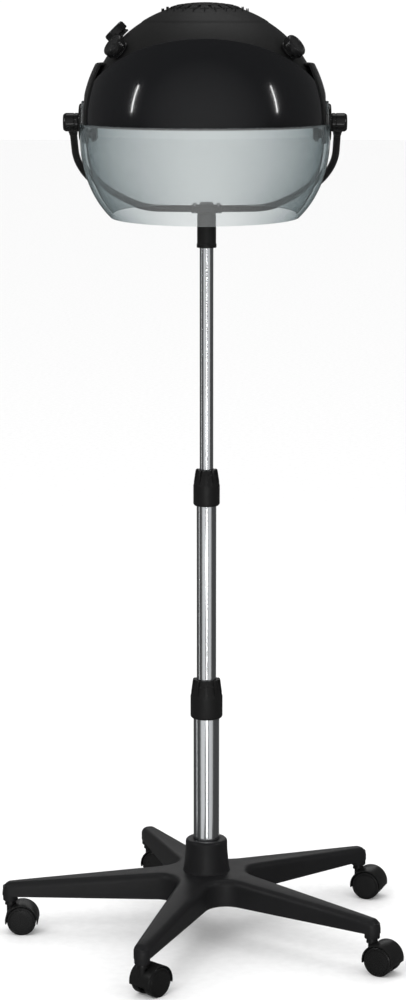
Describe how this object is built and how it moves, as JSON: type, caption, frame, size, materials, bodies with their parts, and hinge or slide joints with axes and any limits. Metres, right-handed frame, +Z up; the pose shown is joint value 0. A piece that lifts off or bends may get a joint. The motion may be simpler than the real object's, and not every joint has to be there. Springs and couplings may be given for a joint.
{
  "type": "hood hair dryer",
  "caption": "Salon hood hair dryer: tilting vented hood with flip-up smoked visor on a yoke, telescopic chromed mast and five-arm castor base.",
  "frame": {"origin": "point on the floor under the mast axis", "axes": "+Z up along the mast, the hood faces -Y, +X to the right of someone facing the hood's visor"},
  "size_m": [0.6851, 0.7838, 1.5891],
  "materials": {
    "base_nylon": "fine-textured black nylon",
    "castor_nylon": "satin black nylon",
    "wheel": "satin black nylon",
    "steel": "zinc plated",
    "chrome": "polished chrome",
    "black_plastic": "satin black",
    "guide_plastic": "natural white nylon",
    "yoke_black": "satin black powder coat",
    "barrel_black": "gloss black",
    "dome_black": "matte black moulding",
    "cowl_gloss": "high gloss black",
    "smoked": "smoked clear acrylic",
    "knob_black": "gloss black",
    "bowl_grey": "grey heat-resistant moulding",
    "bare_metal": "pressed sheet",
    "mica": "mica board",
    "element_wire": "oxidised resistance wire"
  },
  "bodies": {
    "base": {"star_base": "base_nylon", "base_bolt": "steel", "caster_stems": "steel", "lower_tube": "chrome", "lower_collet": "black_plastic"},
    "mid_mast": {"mid_tube": "chrome", "mid_guide": "guide_plastic", "upper_collet": "black_plastic"},
    "upper_mast": {"upper_tube": "chrome", "upper_guide": "guide_plastic"},
    "lower_collar": {"lower_collar": "black_plastic"},
    "upper_collar": {"upper_collar": "black_plastic"},
    "yoke": {"swivel_socket": "black_plastic", "yoke_bracket": "yoke_black", "bracket_screws": "steel", "yoke_rod": "yoke_black", "yoke_ferrules": "black_plastic", "yoke_barrels": "barrel_black", "pivot_bolts": "steel"},
    "hood": {"dome_shell": "dome_black", "vent_cap": "dome_black", "front_cowl": "cowl_gloss", "rear_cowl": "dome_black", "rear_skirt": "smoked", "pivot_discs": "barrel_black", "pivot_blocks": "black_plastic", "inner_bowl": "bowl_grey", "motor_mount": "bare_metal", "motor": "bare_metal", "heater_former": "mica", "heater_coil": "element_wire", "thermostat": "bare_metal", "control_bodies": "knob_black", "cord_gland": "black_plastic"},
    "visor": {"visor": "smoked"},
    "impeller": {"impeller": "guide_plastic"},
    "timer_knob": {"timer_knob": "knob_black"},
    "heat_knob": {"heat_knob": "knob_black"},
    "speed_knob": {"speed_knob": "knob_black"},
    "caster_1": {"caster_body_1": "castor_nylon", "caster_axle_1": "steel"},
    "wheel_1_left": {"caster_wheel_1_left": "wheel"},
    "wheel_1_right": {"caster_wheel_1_right": "wheel"},
    "caster_2": {"caster_body_2": "castor_nylon", "caster_axle_2": "steel"},
    "wheel_2_left": {"caster_wheel_2_left": "wheel"},
    "wheel_2_right": {"caster_wheel_2_right": "wheel"},
    "caster_3": {"caster_body_3": "castor_nylon", "caster_axle_3": "steel"},
    "wheel_3_left": {"caster_wheel_3_left": "wheel"},
    "wheel_3_right": {"caster_wheel_3_right": "wheel"},
    "caster_4": {"caster_body_4": "castor_nylon", "caster_axle_4": "steel"},
    "wheel_4_left": {"caster_wheel_4_left": "wheel"},
    "wheel_4_right": {"caster_wheel_4_right": "wheel"},
    "caster_5": {"caster_body_5": "castor_nylon", "caster_axle_5": "steel"},
    "wheel_5_left": {"caster_wheel_5_left": "wheel"},
    "wheel_5_right": {"caster_wheel_5_right": "wheel"}
  },
  "joints": [
    {"name": "lower_slide", "type": "slide", "parent": "base", "child": "mid_mast", "axis": [0, 0, 1], "range_m": [-0.15, 0.06]},
    {"name": "upper_slide", "type": "slide", "parent": "mid_mast", "child": "upper_mast", "axis": [0, 0, 1], "range_m": [-0.22, 0.07]},
    {"name": "lower_collar_twist", "type": "hinge", "parent": "base", "child": "lower_collar", "pos_m": [0, 0, 0.418], "axis": [0, 0, 1], "range_deg": [-120, 0]},
    {"name": "upper_collar_twist", "type": "hinge", "parent": "mid_mast", "child": "upper_collar", "pos_m": [0, 0, 0.784], "axis": [0, 0, 1], "range_deg": [-120, 0]},
    {"name": "yoke_swivel", "type": "hinge", "parent": "upper_mast", "child": "yoke", "pos_m": [0, 0, 1.21], "axis": [0, 0, 1], "range_deg": [-170, 170]},
    {"name": "hood_tilt", "type": "hinge", "parent": "yoke", "child": "hood", "pos_m": [0, -0.23, 1.404], "axis": [1, 0, 0], "range_deg": [-30, 40]},
    {"name": "visor_flip", "type": "hinge", "parent": "hood", "child": "visor", "pos_m": [0, -0.23, 1.404], "axis": [1, 0, 0], "range_deg": [-42, 0]},
    {"name": "impeller_spin", "type": "hinge", "parent": "hood", "child": "impeller", "pos_m": [0, -0.23, 1.534], "axis": [0, 0, 1], "continuous": true},
    {"name": "timer_knob_turn", "type": "hinge", "parent": "hood", "child": "timer_knob", "pos_m": [-0.13405, -0.23, 1.53865], "axis": [-0.7055, 0, 0.7087], "range_deg": [0, 270]},
    {"name": "heat_knob_turn", "type": "hinge", "parent": "hood", "child": "heat_knob", "pos_m": [-0.13312, -0.30322, 1.5181], "axis": [-0.7006, -0.3853, 0.6005], "range_deg": [0, 180]},
    {"name": "speed_knob_turn", "type": "hinge", "parent": "hood", "child": "speed_knob", "pos_m": [0.13312, -0.30322, 1.5181], "axis": [0.7006, -0.3853, 0.6005], "range_deg": [0, 120]},
    {"name": "caster_1_swivel", "type": "hinge", "parent": "base", "child": "caster_1", "pos_m": [-0.33997, -0.00475, 0.05], "axis": [0, 0, 1], "continuous": true},
    {"name": "wheel_1_left_spin", "type": "hinge", "parent": "caster_1", "child": "wheel_1_left", "pos_m": [-0.31997, -0.00475, 0.025], "axis": [0, 1, 0], "continuous": true},
    {"name": "wheel_1_right_spin", "type": "hinge", "parent": "caster_1", "child": "wheel_1_right", "pos_m": [-0.31997, -0.00475, 0.025], "axis": [0, 1, 0], "continuous": true},
    {"name": "caster_2_swivel", "type": "hinge", "parent": "base", "child": "caster_2", "pos_m": [-0.10054, -0.3248, 0.05], "axis": [0, 0, 1], "continuous": true},
    {"name": "wheel_2_left_spin", "type": "hinge", "parent": "caster_2", "child": "wheel_2_left", "pos_m": [-0.0869, -0.31017, 0.025], "axis": [-0.7314, 0.682, 0], "continuous": true},
    {"name": "wheel_2_right_spin", "type": "hinge", "parent": "caster_2", "child": "wheel_2_right", "pos_m": [-0.0869, -0.31017, 0.025], "axis": [-0.7314, 0.682, 0], "continuous": true},
    {"name": "caster_3_swivel", "type": "hinge", "parent": "base", "child": "caster_3", "pos_m": [0.27783, -0.19599, 0.05], "axis": [0, 0, 1], "continuous": true},
    {"name": "wheel_3_left_spin", "type": "hinge", "parent": "caster_3", "child": "wheel_3_left", "pos_m": [0.29515, -0.20599, 0.025], "axis": [0.5, 0.866, 0], "continuous": true},
    {"name": "wheel_3_right_spin", "type": "hinge", "parent": "caster_3", "child": "wheel_3_right", "pos_m": [0.29515, -0.20599, 0.025], "axis": [0.5, 0.866, 0], "continuous": true},
    {"name": "caster_4_swivel", "type": "hinge", "parent": "base", "child": "caster_4", "pos_m": [0.27225, 0.20367, 0.05], "axis": [0, 0, 1], "continuous": true},
    {"name": "wheel_4_left_spin", "type": "hinge", "parent": "caster_4", "child": "wheel_4_left", "pos_m": [0.29104, 0.19683, 0.025], "axis": [0.342, 0.9397, 0], "continuous": true},
    {"name": "wheel_4_right_spin", "type": "hinge", "parent": "caster_4", "child": "wheel_4_right", "pos_m": [0.29104, 0.19683, 0.025], "axis": [0.342, 0.9397, 0], "continuous": true},
    {"name": "caster_5_swivel", "type": "hinge", "parent": "base", "child": "caster_5", "pos_m": [-0.10957, 0.32186, 0.05], "axis": [0, 0, 1], "continuous": true},
    {"name": "wheel_5_left_spin", "type": "hinge", "parent": "caster_5", "child": "wheel_5_left", "pos_m": [-0.09078, 0.31502, 0.025], "axis": [0.342, 0.9397, 0], "continuous": true},
    {"name": "wheel_5_right_spin", "type": "hinge", "parent": "caster_5", "child": "wheel_5_right", "pos_m": [-0.09078, 0.31502, 0.025], "axis": [0.342, 0.9397, 0], "continuous": true}
  ]
}
